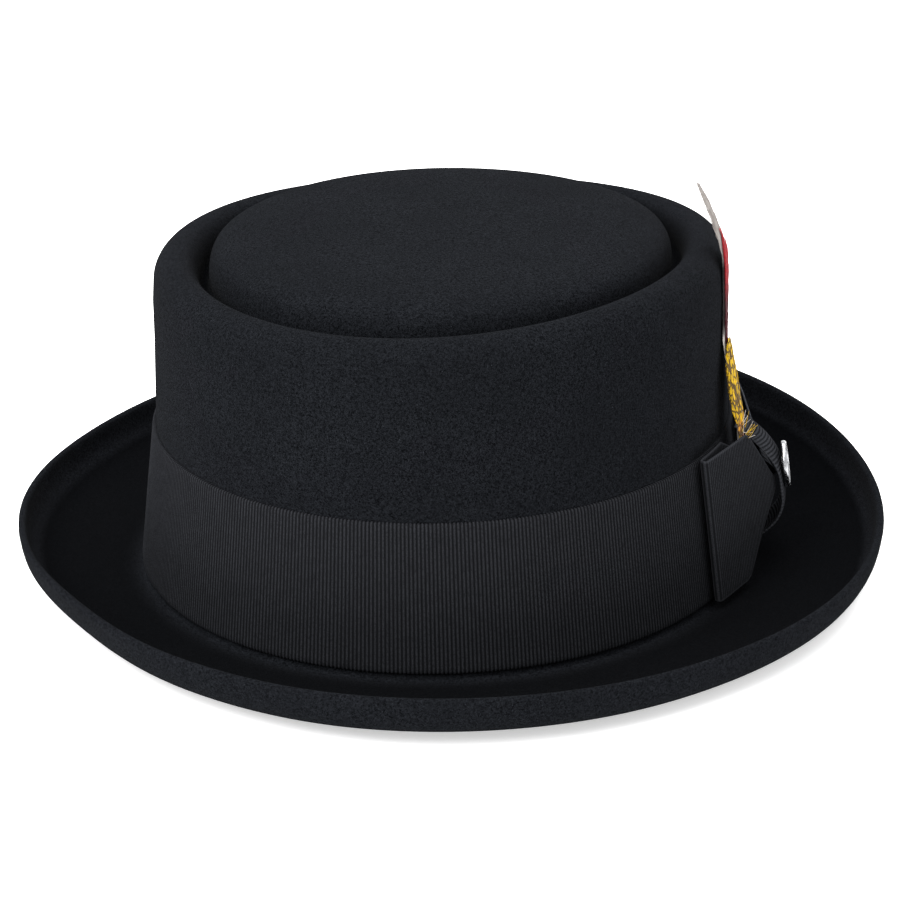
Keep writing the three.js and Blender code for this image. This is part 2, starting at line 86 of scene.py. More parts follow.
# The knot from its upper end to its lower end: height and stand as shares, and how full its middle is
KNOT_SECTION = (
    (0.93, 0.07, 0), (0.9, 0.25, 0.4), (0.83, 0.48, 1), (0.74, 0.73, 0.9), (0.66, 0.91, 0.5), (0.58, 1, 0.15),
    (0.47, 1.02, 0.1), (0.36, 1, 0.1), (0.25, 0.84, 0.3), (0.16, 0.55, 0.5), (0.1, 0.25, 0.2), (0.07, 0.07, 0),
)
# The feathers' curve: rise as a share of the height to the rim, and stand off the upper wall as a share of the lean
FEATHER_CURVE = (
    (0, 0.31), (0.1, 0.27), (0.19, 0.25), (0.28, 0.18), (0.385, 0.107), (0.51, 0.01), (0.61, -0.045),
    (0.77, -0.058), (0.95, -0.075), (1.035, -0.095), (1.11, -0.17), (1.18, -0.28), (1.28, -0.46), (1.4, -0.72),
)
# The feathers from the crown outward: layer, length and width as shares, the widest place, the seed of its chance,
# the power that its width swells by, and where its barbs start
FEATHERS = {
    "feather_grey": {"layer": 0.0, "length": 1.03, "width": 0.76, "widest": 0.72, "seed": 3, "power": 0.7,
                     "quill": 0.2},
    "feather_red": {"layer": 0.55, "length": 0.865, "width": 0.62, "widest": 0.8, "seed": 4, "power": 2.4,
                    "quill": 0.2},
    "feather_yellow": {"layer": 1.3, "length": 0.455, "width": 1.3, "widest": 0.27, "seed": 5, "power": 0.8,
                       "quill": 0.02},
}
# The loose strands at the foot of each feather: how many, how far out they start in millimetres, and the place up
# the vane that they take their colour from
TUFTS = {"feather_grey": (16, 1.0, 0.3), "feather_red": (3, 1.6, 0.62), "feather_yellow": (8, 2.2, 0.62)}


class HatSizes(bpy.types.PropertyGroup):
    """The sizes of the hat"""

    head_length: bpy.props.FloatProperty(
        name="Head length", description="Length of the head opening", default=0.2018, unit="LENGTH")
    head_width: bpy.props.FloatProperty(
        name="Head width", description="Width of the head opening", default=0.17, unit="LENGTH")
    felt: bpy.props.FloatProperty(
        name="Felt", description="Thickness of the felt", default=0.0023, unit="LENGTH")
    rim_height: bpy.props.FloatProperty(
        name="Rim height", description="Height of the crown at its rim", default=0.093, unit="LENGTH")
    tip_height: bpy.props.FloatProperty(
        name="Tip height", description="Height of the middle of the tip", default=0.1006, unit="LENGTH")
    ribbon_width: bpy.props.FloatProperty(
        name="Ribbon width", description="Width of the ribbon", default=0.0406, unit="LENGTH")
    rib_pitch: bpy.props.FloatProperty(
        name="Rib pitch", description="Distance from rib to rib of the ribbon", default=0.0011, unit="LENGTH")
    pin_diameter: bpy.props.FloatProperty(
        name="Pin diameter", description="Diameter of the pin", default=0.0136, unit="LENGTH")


class HatColours(bpy.types.PropertyGroup):
    """The colours of the hat"""

    felt: bpy.props.FloatVectorProperty(
        name="Felt", description="Colour of the felt", subtype="COLOR", size=3, default=(0.0062, 0.0068, 0.0081))
    ribbon: bpy.props.FloatVectorProperty(
        name="Ribbon", description="Colour of the ribbon", subtype="COLOR", size=3, default=(0.0104, 0.0109, 0.0124))
    grey: bpy.props.FloatVectorProperty(
        name="Grey feather", description="Colour of the long feather", subtype="COLOR", size=3,
        default=(0.42, 0.39, 0.365))
    red: bpy.props.FloatVectorProperty(
        name="Red feather", description="Colour of the middle feather", subtype="COLOR", size=3,
        default=(0.25, 0.003, 0.008))
    yellow: bpy.props.FloatVectorProperty(
        name="Yellow feather", description="Colour of the short feather", subtype="COLOR", size=3,
        default=(0.56, 0.35, 0.004))
    pin: bpy.props.FloatVectorProperty(
        name="Pin", description="Colour of the pin", subtype="COLOR", size=3, default=(0.5, 0.51, 0.53))
    floor: bpy.props.FloatVectorProperty(
        name="Floor", description="Colour of the floor", subtype="COLOR", size=3, default=(0.9, 0.9, 0.9))


def through(rows, steps):
    """A smooth curve through rows of points, steps points to each row: between two rows it is a cubic whose
    slope at each row is the mean of the slopes on both sides, each weighted by the other's distance."""
    rows = np.asarray(rows, float)
    gap = np.linalg.norm(np.diff(rows, axis=0), axis=-1, keepdims=True) + 1e-9
    slope = np.diff(rows, axis=0) / gap
    inner = (slope[:-1] * gap[1:] + slope[1:] * gap[:-1]) / (gap[1:] + gap[:-1])
    tangent = np.concatenate([slope[:1], inner, slope[-1:]])
    share = (np.arange(steps) / steps).reshape((1, steps) + (1,) * (rows.ndim - 1))
    start, end = rows[:-1, None], rows[1:, None]
    run = gap[:, None]
    square, cube = share ** 2, share ** 3
    curve = ((2 * cube - 3 * square + 1) * start + (cube - 2 * square + share) * run * tangent[:-1, None]
             + (3 * square - 2 * cube) * end + (cube - square) * run * tangent[1:, None])
    return np.concatenate([curve.reshape((-1,) + rows.shape[1:]), rows[-1:]])


def around(values, turn):
    """A smooth value around the hat from values that are equal parts of the full turn apart, by the same cubic."""
    values = np.asarray(values, float)
    place = (turn / FULL_TURN % 1) * len(values)
    first = np.floor(place).astype(int)
    share = place - first
    at = [values[(first + step) % len(values)] for step in (-1, 0, 1, 2)]
    slope_in, slope_out, rise = (at[2] - at[0]) / 2, (at[3] - at[1]) / 2, at[2] - at[1]
    return at[1] + share * (slope_in + share * (3 * rise - 2 * slope_in - slope_out
                                                + share * (slope_in + slope_out - 2 * rise)))


class Form:
    """Where things lie on the hat, in millimetres: turn goes round it from the wearer's left, out is the distance
    from the oval of the crown's foot, square to it, and height is above the table."""

    wall_lean, upper_lean, crown_set = 5.0, 1.0, 1.9
    rim_outer, rim_inner, groove_depth, groove_width, tip_clear = 6.8, 6.2, 9.5, 2.4, 0.9
    rim_at_sides, rim_at_left, rim_at_front = 1.7, 1.5, 1.1
    break_round, clearance, band_thickness = 1.5, 0.3, 0.8
    rest_width, curl_round, curl_height, curl_steep, dish_bend = 12.0, 10.0, 10.8, np.radians(80), 1.6

    turn_steps = 20000

    def __init__(self, sizes):
        """Takes the driving sizes, and the ribbon's lengths round the oval as sums of short chords."""
        self.felt = sizes.felt / MM
        self.rim = sizes.rim_height / MM
        self.tip = sizes.tip_height / MM
        self.ribbon = sizes.ribbon_width / MM
        self.pitch = sizes.rib_pitch / MM
        self.half_width = sizes.head_width / MM / 2 + self.felt
        self.half_length = sizes.head_length / MM / 2 + self.felt
        self.band_foot = self.felt + self.break_round + self.clearance
        self.band_top = self.band_foot + self.ribbon
        self.groove = -(self.wall_lean + self.upper_lean + self.rim_outer + self.rim_inner + self.groove_width / 2)
        self.tip_radius = (self.half_width + self.half_length) / 2 + self.groove
        low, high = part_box("hat_band")
        self.middle = np.array([(low[0] + high[0]) / 2 / MM + self.crown_set * self.band_foot / self.rim,
                                (low[1] + high[1]) / 2 / MM])
        turns = np.linspace(-np.pi, np.pi, self.turn_steps + 1)
        speed = np.hypot(self.half_width * np.sin(turns), self.half_length * np.cos(turns))
        lengths = np.concatenate([[0], np.cumsum((speed[1:] + speed[:-1]) / 2 * np.diff(turns))])
        self.turns, self.lengths = turns, lengths - lengths[len(turns) // 2]

    def beside(self, turn, out, height):
        """The oval's point moved out along the oval's normal, and to the right by the crown's set, in mm."""
        turn, out, height = np.broadcast_arrays(*(np.asarray(v, float) for v in (turn, out, height)))
        across, along = self.half_length * np.cos(turn), self.half_width * np.sin(turn)
        size = np.hypot(across, along)
        x = self.half_width * np.cos(turn) + out * across / size - self.crown_set * height / self.rim
        y = self.half_length * np.sin(turn) + out * along / size
        return np.stack([x + self.middle[0], y + self.middle[1], height], -1)

    def on_felt(self, turn, out, height):
        """The same, but inside the groove the oval shrinks evenly towards the middle of the tip."""
        point = self.beside(turn, np.maximum(out, self.groove), height)
        middle = np.stack([self.middle[0] - self.crown_set * height / self.rim,
                           np.full_like(height, self.middle[1]), height], -1)
        share = 1 + np.minimum(out - self.groove, 0) / self.tip_radius
        return middle + (point - middle) * share[..., None]

    def wall_out(self, height):
        """How far the wall leans in, in step with its height over the foot of the band."""
        return -self.wall_lean * (height - self.band_foot) / self.ribbon

    def turn_at(self, length):
        """The turn at a length of ribbon from the wearer's left."""
        return np.interp(length, self.lengths, self.turns)

    def off_band(self, length, stand, height):
        """A point that stands off the outside of the band."""
        out = self.wall_out(height) + self.clearance + self.band_thickness + stand
        return self.beside(self.turn_at(length), out, height)

    def rim_at(self, turn):
        """The height of the rim: higher at the sides, most at the wearer's left, and higher in front than behind."""
        return (self.rim + self.rim_at_sides * np.cos(2 * turn) + self.rim_at_left * np.cos(turn)
                - self.rim_at_front * np.sin(turn))

    def straight_out(self, length):
        """The direction straight out from the band at a length of ribbon."""
        out = self.off_band(length, 1, self.band_foot) - self.off_band(length, 0, self.band_foot)
        return out / np.linalg.norm(out)


def felt_face(form, turn):
    """The upper face of the felt from the tip to the brim's edge, as rows of (out, height) for every turn: the
    tip's table, a round groove, two quarter arcs over the rim, the leaning wall, a quarter arc at the break, the
    flat ring, the dish with a height of share ** bend, and an arc of the curl."""
    rim = form.rim_at(turn)
    bottom = rim - form.groove_depth
    rows = []

    def add(out, height):
        """One more row, for every turn"""
        rows.append(np.stack(np.broadcast_arrays(out + 0 * turn, height + 0 * turn), -1))

    edge = form.groove - form.groove_width / 2 - form.tip_clear
    for reach, height in TIP_SECTION:
        add(edge - form.tip_radius * (1 - reach), bottom + (form.tip - bottom) * height)
    add(form.groove, bottom)
    crest = form.groove + form.groove_width / 2 + form.rim_inner
    drop = form.groove_depth - form.groove_width / 2
    for angle in np.linspace(np.pi / 2, 0, 7)[:-1]:
        add(crest - form.rim_inner * np.sin(angle), rim - drop * (1 - np.cos(angle)))
    for angle in np.linspace(0, np.pi / 2, 7):
        add(crest + form.rim_outer * np.sin(angle), rim - form.rim_outer * (1 - np.cos(angle)))
    foot = form.felt + form.break_round
    for share in (0.6, 0.2):
        add(-form.wall_lean - form.upper_lean * share, form.band_top + (rim - form.rim_outer - form.band_top) * share)
    add(-form.wall_lean, form.band_top)
    add(form.wall_out((form.band_top + form.band_foot) / 2), (form.band_top + form.band_foot) / 2)
    add(form.wall_out(form.band_foot + 2), form.band_foot + 2)
    for angle in np.linspace(0, np.pi / 2, 4):
        add(form.break_round * (1 - np.cos(angle)), foot - form.break_round * np.sin(angle))
    for share in (0.35, 0.7, 1):
        add(form.rest_width * share, form.felt)

    width, lift = around(BRIM_WIDTHS, turn), around(BRIM_LIFTS, turn)
    steep = form.curl_steep
    run = width - form.curl_round * (np.sin(steep) - np.sin(steep / 4)) - form.rest_width
    slope = np.arctan(form.dish_bend * lift / run)
    rise = form.curl_round * (np.cos(slope) - np.cos(steep))
    straight = (form.curl_height - rise) / np.sin(steep)
    dish_end = width - form.curl_round * (np.sin(steep) - np.sin(slope)) - straight * np.cos(steep)

    def add_under(out, height, angle):
        """One more row, the felt's thickness square to its underside"""
        add(out - form.felt * np.sin(angle), height + form.felt * np.cos(angle))

    for share in np.linspace(0, 1, 8)[1:]:
        angle = np.arctan(form.dish_bend * lift / (dish_end - form.rest_width) * share ** (form.dish_bend - 1))
        add_under(form.rest_width + (dish_end - form.rest_width) * share, lift * share ** form.dish_bend, angle)
    for share in np.linspace(0, 1, 8)[1:]:
        angle = slope + (steep - slope) * share
        out = dish_end + form.curl_round * (np.sin(angle) - np.sin(slope))
        add_under(out, lift + form.curl_round * (np.cos(slope) - np.cos(angle)), angle)
    add_under(width, lift + form.curl_height, steep)
    return np.array(rows)


def quads_of_grid(rows, columns, round_columns=False, round_rows=False, first=0):
    """The four corners of every cell of a grid of points, closed either way where asked."""
    row = np.arange(rows if round_rows else rows - 1)[:, None]
    column = np.arange(columns if round_columns else columns - 1)[None, :]
    below, beside = (row + 1) % rows, (column + 1) % columns
    corners = np.broadcast_arrays(row * columns + column, below * columns + column, below * columns + beside,
                                  row * columns + beside)
    return first + np.stack(corners, -1).reshape(-1, 4)


def fan(pole, ring, other_way=False):
    """Triangles from a pole to every side of a closed ring of points, as rows of three."""
    after = np.roll(ring, -1)
    sides = (after, ring) if other_way else (ring, after)
    return np.stack([np.full(len(ring), pole), *sides], -1)


def make_piece(name, points, faces, material, replaced=(), uv=None, body="root"):
    """A piece from points in millimetres and faces, smooth, with one material and an optional UV for each point."""
    mesh = bpy.data.meshes.new(name)
    mesh.from_pydata((np.asarray(points) * MM).tolist(), [], [list(map(int, face)) for face in faces])
    mesh.update()
    if uv is not None:
        layer = mesh.uv_layers.new(name="surface")
        corners = np.empty(len(mesh.loops), dtype=np.int32)
        mesh.loops.foreach_get("vertex_index", corners)
        layer.data.foreach_set("uv", np.asarray(uv, dtype=np.float32)[corners].ravel())
    mesh.polygons.foreach_set("use_smooth", np.ones(len(mesh.polygons), dtype=bool))
    mesh.materials.append(material)
    piece = bpy.data.objects.new(name, mesh)
    bpy.context.scene.collection.objects.link(piece)
    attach(piece, body)
    if replaced:
        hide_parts(*replaced)
    return piece


def ribs(phase):
    """The round back of each rib, 0 in the groove between two and 1 on top: the absolute sine to the power of 0.6."""
    return np.abs(np.sin(np.pi * phase)) ** 0.6


def ribs_passed(points, pitch):
    """How many ribs lie between the first of a row of points and each of them: the sum of the steps over the pitch."""
    steps = np.linalg.norm(np.diff(points, axis=0), axis=-1)
    return np.concatenate([[0], np.cumsum(steps)]) / pitch


def slab(points, thickness, relief=None):
    """A closed sheet from a grid of points: each side lies half its thickness, and the relief, off the grid along
    the cross product of the grid's two directions. Gives the points and the faces."""
    rows, columns = points.shape[:2]
    normal = np.cross(np.gradient(points, axis=0), np.gradient(points, axis=1))
    normal /= np.linalg.norm(normal, axis=-1, keepdims=True) + 1e-12
    away = thickness / 2 + (0 if relief is None else relief)
    away = np.broadcast_to(away, (rows, columns))[..., None]
    both = np.concatenate([(points + normal * away).reshape(-1, 3), (points - normal * away).reshape(-1, 3)])
    front = quads_of_grid(rows, columns)
    back = quads_of_grid(rows, columns, first=rows * columns)[:, ::-1]
    index = np.arange(rows * columns).reshape(rows, columns)
    border = np.concatenate([index[0, :-1], index[:-1, -1], index[-1, :0:-1], index[:0:-1, 0]])
    after = np.roll(border, -1)
    sides = np.stack([border, after, after + rows * columns, border + rows * columns], -1)
    return both, np.concatenate([front, back, sides])


def tubes_along(paths, radius, sides=6):
    """Closed round tubes along rows of points. At each place lies a ring of the radius: cosine times the cross product
    of the path's direction and a fixed one, plus sine times the direction's cross product with that. Gives the points
    and the faces."""
    many, places = paths.shape[:2]
    ahead = np.gradient(paths, axis=1)
    ahead /= np.linalg.norm(ahead, axis=-1, keepdims=True)
    first = np.cross(ahead, (0.31, 0.17, 1.0))
    first /= np.linalg.norm(first, axis=-1, keepdims=True)
    second = np.cross(ahead, first)
    angle = (np.arange(sides) / sides * FULL_TURN)[:, None]
    radius = np.broadcast_to(radius, (many, places))[..., None, None]
    rings = paths[:, :, None] + radius * (np.cos(angle) * first[:, :, None] + np.sin(angle) * second[:, :, None])
    each = np.arange(many)[:, None, None] * places * sides
    quads = (quads_of_grid(places, sides, round_columns=True)[None, :, ::-1] + each).reshape(-1, 4)
    ring = np.arange(sides)
    starts, ends = each[:, 0] + ring[::-1], each[:, 0] + (places - 1) * sides + ring
    return rings.reshape(-1, 3), [*quads, *starts, *ends]


class Value:
    """A number that varies over a surface; Python's operators on it add Math nodes."""

    def __init__(self, finish, socket):
        """Holds the finish that the socket belongs to, and the socket."""
        self.finish, self.socket = finish, socket

    def math(self, operation, first, second):
        """One Math node of the same finish"""
        return self.finish.math(operation, first, second)

    def __add__(self, other):
        return self.math("ADD", self, other)

    def __radd__(self, other):
        return self.math("ADD", other, self)

    def __sub__(self, other):
        return self.math("SUBTRACT", self, other)

    def __rsub__(self, other):
        return self.math("SUBTRACT", other, self)

    def __mul__(self, other):
        return self.math("MULTIPLY", self, other)

    def __rmul__(self, other):
        return self.math("MULTIPLY", other, self)

    def __pow__(self, other):
        return self.math("POWER", self, other)

    def ramp(self, low, high):
        """0 below low, 1 above high, smooth between"""
        node = self.finish.node("ShaderNodeMapRange", {"interpolation_type": "SMOOTHSTEP"},
                                {"Value": self, "From Min": low, "From Max": high})
        return Value(self.finish, node.outputs["Result"])


class Finish:
    """A material and the nodes that make it."""

    def __init__(self, name, **constants):
        """A new material with one shader, and fixed values for the shader's sockets."""
        self.material = bpy.data.materials.new(name)
        self.material.use_nodes = True
        self.tree = self.material.node_tree
        self.shader = self.tree.nodes["Principled BSDF"]
        self.set(**constants)

    def node(self, kind, settings=None, inputs=None):
        """A node of a kind, with its settings first, then values or links for its sockets"""
        node = self.tree.nodes.new(kind)
        for key, value in (settings or {}).items():
            setattr(node, key, value)
        for key, value in (inputs or {}).items():
            self.feed(node.inputs[key], value)
        return node

    def feed(self, socket, value):
        """A link into a socket from another one, or else a fixed value for it"""
        if isinstance(value, Value):
            value = value.socket
        if isinstance(value, bpy.types.NodeSocket):
            self.tree.links.new(value, socket)
        else:
            socket.default_value = value

    def math(self, operation, first, second=0.0):
        """One Math node on two values"""
        return Value(self, self.node("ShaderNodeMath", {"operation": operation}, {0: first, 1: second}).outputs[0])

    def set(self, **inputs):
        """Values or links for the shader's own sockets, whose names have _ for a space"""
        for key, value in inputs.items():
            self.feed(self.shader.inputs[key.replace("_", " ")], value)

    def noise(self, scale, detail=4.0, roughness=0.55, stretch=(1, 1, 1)):
        """A noise on the object's own coordinates, with its cells stretched"""
        place = self.node("ShaderNodeTexCoord").outputs["Object"]
        scaled = self.node("ShaderNodeMapping", {}, {"Vector": place, "Scale": stretch}).outputs["Vector"]
        made = self.node("ShaderNodeTexNoise", {}, {"Vector": scaled, "Scale": scale, "Detail": detail,
                                                    "Roughness": roughness})
        return Value(self, made.outputs["Fac"])

    def surface(self, axis):
        """One of the two values of the piece's own UV map, X or Y"""
        place = self.node("ShaderNodeUVMap", {"uv_map": "surface"}).outputs["UV"]
        return Value(self, self.node("ShaderNodeSeparateXYZ", {}, {"Vector": place}).outputs[axis])

    def mix(self, factor, first, second):
        """A colour between two"""
        settings = {"data_type": "RGBA", "clamp_factor": True}
        return self.node("ShaderNodeMix", settings, {0: factor, 6: rgba(first), 7: rgba(second)}).outputs[2]

    def bump(self, height, strength, distance):
        """A normal that follows a height, in metres at full strength"""
        return self.node("ShaderNodeBump", {}, {
            "Height": height, "Strength": strength, "Distance": distance}).outputs["Normal"]


def rgba(colour):
    """A colour with full alpha, or a socket as it is"""
    if isinstance(colour, bpy.types.NodeSocket):
        return colour
    return (*colour[:3], 1.0)


def shade(colour, by):
    """A colour made darker or lighter by a factor"""
    return tuple(channel * by for channel in colour[:3])


def felt_finish(colour):
    """Short-napped felt: matted fibres, pale flecks of lint and a soft fuzz of sheen. Painted shade darkens the groove
    and the brim's upper side, between shares of the section."""
    made = Finish("wool_felt", Roughness=0.95, Specular_IOR_Level=0.0, Sheen_Weight=0.012, Sheen_Roughness=0.3)
    broad, mottle, fibre = made.noise(38, 3), made.noise(1400, 3, 0.6), made.noise(3400, 2, 0.6)
    fleck = made.noise(3100, 1).ramp(0.69, 0.75) * made.noise(300, 2).ramp(0.45, 0.6)
    nap = mottle * 0.4 + fibre * 0.6
    base = made.mix(nap.ramp(0.35, 0.65), shade(colour, 0.22), shade(colour, 1.9))
    base = made.mix(broad.ramp(0.35, 0.7) * 0.3, base, shade(colour, 0.7))
    base = made.mix(fleck * 0.6, base, shade(colour, 6.0))
    section = made.surface("Y")
    inside_edge = 1 - section.ramp(BRIM_EDGE - 0.08, BRIM_EDGE - 0.045)
    # Painted shade: the brim's upper side, inside its curled edge, is darkened in colour
    brim_painted_shade = section.ramp(BRIM_START - 0.01, BRIM_START + 0.02) * inside_edge
    base = made.mix(brim_painted_shade * 0.85, base, shade(colour, 0.22))
    # Painted shade: the groove between the tip and the rolled rim is darkened in colour
    inside_rim = 1 - section.ramp(GROOVE_END - 0.045, GROOVE_END)
    groove_painted_shade = section.ramp(GROOVE_START, GROOVE_START + 0.03) * inside_rim
    base = made.mix(groove_painted_shade * 0.75, base, shade(colour, 0.2))
    made.set(Base_Color=base, Normal=made.bump(nap, 0.6, 0.0006))
    return made.material


def ribbon_finish(name, colour, rough=0.5, edge_highlight=0.0):
    """Ribbed ribbon: painted shade between the ribs and painted highlight on their crests, by the square of a sine of
    the rib count, fine threads, a low sheen, and a painted highlight along both edges where asked."""
    made = Finish(name, Specular_IOR_Level=0.0, Sheen_Weight=0.002, Sheen_Roughness=0.4)
    count, across = made.surface("X"), made.surface("Y")
    wave = made.math("SINE", count * np.pi)
    thread, broad = made.noise(2900, 2), made.noise(240, 4, 0.6)
    # Painted light and shade of the ribs: their crests lighter and the grooves between them darker, in colour
    ridge = (wave * wave).ramp(0.1, 0.85)
    base = made.mix(ridge * (0.3 + 1.1 * thread.ramp(0.34, 0.66)), shade(colour, 0.6), shade(colour, 1.9))
    base = made.mix(broad.ramp(0.45, 0.75) * 0.3, base, shade(colour, 0.6))
    # Painted highlight: a much lighter line along both edges of the ribbon, where they catch the light
    if edge_highlight:
        side = made.math("MINIMUM", across, 1 - across)
        base = made.mix((1 - side.ramp(0.006, 0.02)) * edge_highlight, base, shade(colour, 5.5))
    made.set(Base_Color=base, Roughness=rough + 0.15 * broad, Normal=made.bump(thread + ridge * 0.6, 0.5, 0.0002))
    return made.material


def vane(name, colour, dark, light, streaks=900):
    """The start of a feather's finish: fine streaks between a darker and a lighter shade. Gives the finish, its
    colour so far, and the place up the feather, 0 at its foot and 1 at its tip."""
    made = Finish(name, Roughness=0.7, Specular_IOR_Level=0.12)
    base = made.mix(made.noise(streaks, 2).ramp(0.3, 0.7), shade(colour, dark), shade(colour, light))
    return made, base, made.surface("X")


def grey_vane(colour):
    """Grey-white feather: pale at its foot, brown mottling higher up, painted shade where it lies behind the others,
    and a dull, thinner tip."""
    brown, painted_shadow, ash = (0.13, 0.1, 0.085), (0.014, 0.011, 0.011), (0.17, 0.15, 0.14)
    made, base, up = vane("grey_vane", colour, 0.72, 1.1)
    base = made.mix((1 - up.ramp(0.4, 0.62)) * 0.7, base, shade(colour, 1.7))
    base = made.mix(made.noise(150, 3).ramp(0.5, 0.62) * up.ramp(0.6, 0.75) * 0.6, base, brown)
    # Painted shade: nearly black where the red and yellow feathers lie in front of it
    behind_others_shade = up.ramp(0.42, 0.5) * (1 - up.ramp(0.7, 0.78))
    base = made.mix(behind_others_shade * 0.97, base, painted_shadow)
    base = made.mix(up.ramp(0.72, 0.8) * 0.6, base, ash)
    made.set(Base_Color=base, Alpha=1.0 - 0.35 * up.ramp(0.9, 1.04))
    return made.material


def red_vane(colour):
    """Red feather: nearly black up to two thirds of its length, and a pale pink tip."""
    pink, dark_red = (0.62, 0.3, 0.3), (0.045, 0.006, 0.01)
    made, base, up = vane("red_vane", colour, 0.55, 1.25)
    base = made.mix(up.ramp(0.96, 1.04) * 0.6, base, pink)
    base = made.mix((1 - up.ramp(0.66, 0.82)) * 0.95, base, dark_red)
    made.set(Base_Color=base)
    return made.material


def yellow_vane(colour):
    """Yellow feather: brown bars between the cells of a stretched cell pattern, and patches of orange at its foot."""
    orange, brown = (0.5, 0.13, 0.02), (0.035, 0.014, 0.006)
    made, base, up = vane("yellow_vane", colour, 0.7, 1.15, streaks=1000)
    place = made.node("ShaderNodeCombineXYZ", {}, {0: up * 7.0, 1: made.surface("Y") * 4.0}).outputs["Vector"]
    cells = made.node("ShaderNodeTexVoronoi", {"feature": "DISTANCE_TO_EDGE"},
                      {"Vector": place, "Scale": 1.9, "Randomness": 0.75})
    edge = Value(made, cells.outputs["Distance"]) + 0.05 * made.noise(1200, 2)
    base = made.mix((1 - up.ramp(0.2, 0.42)) * made.noise(260, 2).ramp(0.4, 0.6), base, orange)
    base = made.mix((1 - edge.ramp(0.085, 0.16)) * 0.92, base, brown)
    made.set(Base_Color=base)
    return made.material


def silver_finish(colour):
    """Silver-coloured metal with faint scuffs that dull and darken it."""
    made = Finish("silver_metal", Metallic=1.0)
    scuff = made.noise(430, 4)
    base = made.mix(scuff.ramp(0.3, 0.7), shade(colour, 0.45), colour)
    made.set(Base_Color=base, Roughness=0.16 + 0.2 * scuff)
    return made.material


def light_table(colour):
    """White floor that glows faintly, as a light table does."""
    return Finish("floor_light_table", Roughness=0.9, Specular_IOR_Level=0.0, Emission_Strength=0.5,
                  Emission_Color=(1.0, 1.0, 1.0, 1.0), Base_Color=rgba(colour)).material


class HAT_OT_felt(bpy.types.Operator):
    """Make the crown and brim: one felt wall with a rolled rim, a grooved tip and an upturned edge"""

    bl_idname = "hat.felt"
    bl_label = "Crown and brim"
    turns, wander, wander_from, wander_to = 320, 0.25, 50, 90

    def execute(self, context):
        """The section's face, a round edge and the same face set back by the felt, closed at two poles"""
        form = Form(context.scene.hat_sizes)
        turn = np.arange(self.turns) / self.turns * FULL_TURN
        face = through(felt_face(form, turn), 3)
        along = np.gradient(face, axis=0)
        along /= np.linalg.norm(along, axis=-1, keepdims=True)
        inward = np.stack([along[..., 1], -along[..., 0]], -1)
        back = (face + form.felt * inward)[::-1][::2]
        middle = face[-1] + inward[-1] * form.felt / 2
        edge = [middle + form.felt / 2 * (along[-1] * np.sin(angle) - inward[-1] * np.cos(angle))
                for angle in np.radians((30, 60, 90, 120, 150))]
        section = np.concatenate([face, edge, back])
        above = np.clip((section[..., 1] - self.wander_from) / (self.wander_to - self.wander_from), 0, 1)
        section[..., 0] += self.wander * np.sin(3 * turn + 0.7) * above
        rings = form.on_felt(turn[None, :], section[..., 0], section[..., 1])
        poles = [rings[0].mean(0), rings[-1].mean(0)]
        poles[0][2], poles[1][2] = form.tip, form.tip - form.felt
        points = np.concatenate([rings.reshape(-1, 3), poles])
        share = np.linspace(0, 1, len(rings))[:, None]
        uv = np.stack(np.broadcast_arrays(turn[None, :] / FULL_TURN, share), -1).reshape(-1, 2)
        uv = np.concatenate([uv, [[0, 0], [0, 1]]])
        grid = quads_of_grid(len(rings), self.turns, round_columns=True)
        ring = np.arange(self.turns)
        last = (len(rings) - 1) * self.turns
        caps = [*fan(len(points) - 2, ring), *fan(len(points) - 1, last + ring, other_way=True)]
        make_piece("felt_crown_and_brim", points, [*grid, *caps], felt_finish(context.scene.hat_colours.felt),
                   ["felt_body"], uv)
        return {"FINISHED"}


class HAT_OT_band(bpy.types.Operator):
    """Make the ribbon band: upright ribs all round it, and finely scalloped edges"""

    bl_idname = "hat.band"
    bl_label = "Ribbon band"
    scallop, sag, inner, face, border, rib_out, edge_share = 0.3, 0.25, -0.2, 0.55, 0.2, 0.25, 0.012

    def execute(self, context):
        """Upright rows of points over the ribbon's face and down its back; each rib adds its round back to how far
        out the face lies, and draws the two edges in between the ribs."""
        form = Form(context.scene.hat_sizes)
        whole = form.lengths[-1] - form.lengths[0]
        count = int(round(whole / form.pitch))
        phase = np.arange(count * RIB_STEPS) / RIB_STEPS
        turn = form.turn_at(form.lengths[0] + whole * phase / count)
        rib = ribs(phase)[None, :]
        share = np.array([0, 0.006, 0.02, 0.05, 0.15, 0.35, 0.6, 0.8, 0.93, 0.975, 0.993, 1])[:, None]
        sag = self.sag * np.sin(2 * turn + 1.0) * np.sin(np.pi * share)
        top = form.band_top - self.scallop * (1 - rib)
        foot = form.band_foot + self.scallop * (1 - rib)
        height = foot + (top - foot) * share
        edge = np.minimum(1, np.minimum(share, 1 - share) / self.edge_share)
        out = form.wall_out(height) + self.face + edge * (self.rib_out * rib + self.border) + 0.2 * sag
        outer = form.beside(turn[None, :], out, height)
        back = [form.beside(turn[None, :], form.wall_out(level) + self.inner, level) for level in (top, foot)]
        loop = np.concatenate([outer, *back])
        uv = np.stack(np.broadcast_arrays(phase[None, :], np.append(share, [1, 0])[:, None]), -1).reshape(-1, 2)
        faces = quads_of_grid(len(loop), loop.shape[1], round_columns=True, round_rows=True)[:, ::-1]
        colours = context.scene.hat_colours
        make_piece("ribbon_band", loop.reshape(-1, 3), faces, ribbon_finish("band_ribbon", colours.ribbon, 0.5),
                   ["hat_band"], uv)
        return {"FINISHED"}


